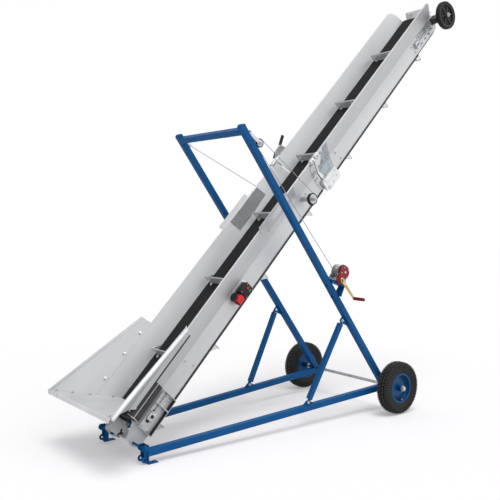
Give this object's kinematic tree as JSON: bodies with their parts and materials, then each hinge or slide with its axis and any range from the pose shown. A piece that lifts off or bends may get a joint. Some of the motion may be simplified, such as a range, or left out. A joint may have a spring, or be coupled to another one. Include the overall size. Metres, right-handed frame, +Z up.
{
  "type": "firewood conveyor",
  "caption": "Wheeled belt conveyor for split firewood: a cleated belt in a folding steel trough with a hopper, raised by a hand winch on a blue tube mast",
  "frame": {"origin": "on the floor, in the middle of the machine's length and width", "axes": "+X from the loading hopper toward the wheels and the discharge end, +Y toward the side away from the winch, +Z up"},
  "size_m": [3.5202, 1.18, 3.4299],
  "materials": {
    "galvanised_sheet": "galvanised",
    "zinc_hardware": "bright zinc plated",
    "blue_tube": "gloss paint",
    "belt_rubber": "matte woven",
    "drum_steel": "plain",
    "tyre_black": "moulded",
    "rim_blue": "gloss paint",
    "axle_steel": "plain",
    "black_plastic": "matte",
    "wheel_plastic": "matte",
    "inlet_red": "gloss",
    "button_plastic": "gloss",
    "cover_red": "gloss paint",
    "yellow_zinc": "yellow passivated",
    "rope_steel": "stranded"
  },
  "bodies": {
    "chassis": {"near_rail": "blue_tube", "far_rail": "blue_tube", "near_upright": "blue_tube", "far_upright": "blue_tube", "near_strut": "blue_tube", "far_strut": "blue_tube", "mast_crossbar": "blue_tube", "axle": "axle_steel", "near_front_foot": "blue_tube", "far_front_foot": "blue_tube", "pivot_bolts": "zinc_hardware", "winch_bracket": "blue_tube", "winch_drum": "zinc_hardware", "winch_cover": "cover_red", "near_rope_block": "zinc_hardware", "mast_eyes": "zinc_hardware", "winch_rope": "rope_steel", "near_lift_rope": "rope_steel", "far_lift_rope": "rope_steel"},
    "near_wheel": {"near_tyre": "tyre_black", "near_rim": "rim_blue"},
    "far_wheel": {"far_tyre": "tyre_black", "far_rim": "rim_blue"},
    "crank": {"crank_arm": "yellow_zinc", "crank_grip": "cover_red"},
    "lower_boom": {"near_lower_wall": "galvanised_sheet", "far_lower_wall": "galvanised_sheet", "lower_deck": "galvanised_sheet", "tail_drum": "drum_steel", "lower_belt": "belt_rubber", "near_hopper_wing": "galvanised_sheet", "far_hopper_wing": "galvanised_sheet", "hopper_front": "galvanised_sheet", "side_guards": "galvanised_sheet", "near_tail_tensioner": "zinc_hardware", "far_tail_tensioner": "zinc_hardware", "lift_crossbar": "zinc_hardware", "upright_guards": "galvanised_sheet", "switch_box": "black_plastic", "power_inlet": "inlet_red", "switch_buttons": "button_plastic", "fold_leaves_lower": "zinc_hardware", "latch_hook": "zinc_hardware"},
    "upper_boom": {"near_upper_wall": "galvanised_sheet", "far_upper_wall": "galvanised_sheet", "upper_deck": "galvanised_sheet", "head_drum": "drum_steel", "upper_belt": "belt_rubber", "near_head_bearing": "zinc_hardware", "far_head_bearing": "zinc_hardware", "fold_leaves_upper": "zinc_hardware", "latch_lever": "zinc_hardware", "latch_grip": "black_plastic", "head_brackets": "zinc_hardware"},
    "near_head_wheel_body": {"near_head_wheel": "wheel_plastic"},
    "far_head_wheel_body": {"far_head_wheel": "wheel_plastic"}
  },
  "joints": [
    {"name": "near_wheel_spin", "type": "hinge", "parent": "chassis", "child": "near_wheel", "pos_m": [0.69018, -0.529, 0.2], "axis": [0, 1, 0], "continuous": true},
    {"name": "far_wheel_spin", "type": "hinge", "parent": "chassis", "child": "far_wheel", "pos_m": [0.69018, 0.529, 0.2], "axis": [0, 1, 0], "continuous": true},
    {"name": "boom_lift", "type": "hinge", "parent": "chassis", "child": "lower_boom", "pos_m": [-1.41382, 0, 0.098], "axis": [0, -1, 0], "range_deg": [-31, 8], "deforming": ["near_lift_rope", "far_lift_rope"]},
    {"name": "boom_fold", "type": "hinge", "parent": "lower_boom", "child": "upper_boom", "pos_m": [0.30518, 0, 1.75913], "axis": [0, 1, 0], "range_deg": [0, 95]},
    {"name": "winch_crank_turn", "type": "hinge", "parent": "chassis", "child": "crank", "pos_m": [0.14918, -0.455, 1.057], "axis": [0, 1, 0], "continuous": true},
    {"name": "near_head_wheel_spin", "type": "hinge", "parent": "upper_boom", "child": "near_head_wheel_body", "pos_m": [1.63812, -0.29, 3.30786], "axis": [0, 1, 0], "continuous": true},
    {"name": "far_head_wheel_spin", "type": "hinge", "parent": "upper_boom", "child": "far_head_wheel_body", "pos_m": [1.63812, 0.29, 3.30786], "axis": [0, 1, 0], "continuous": true}
  ]
}
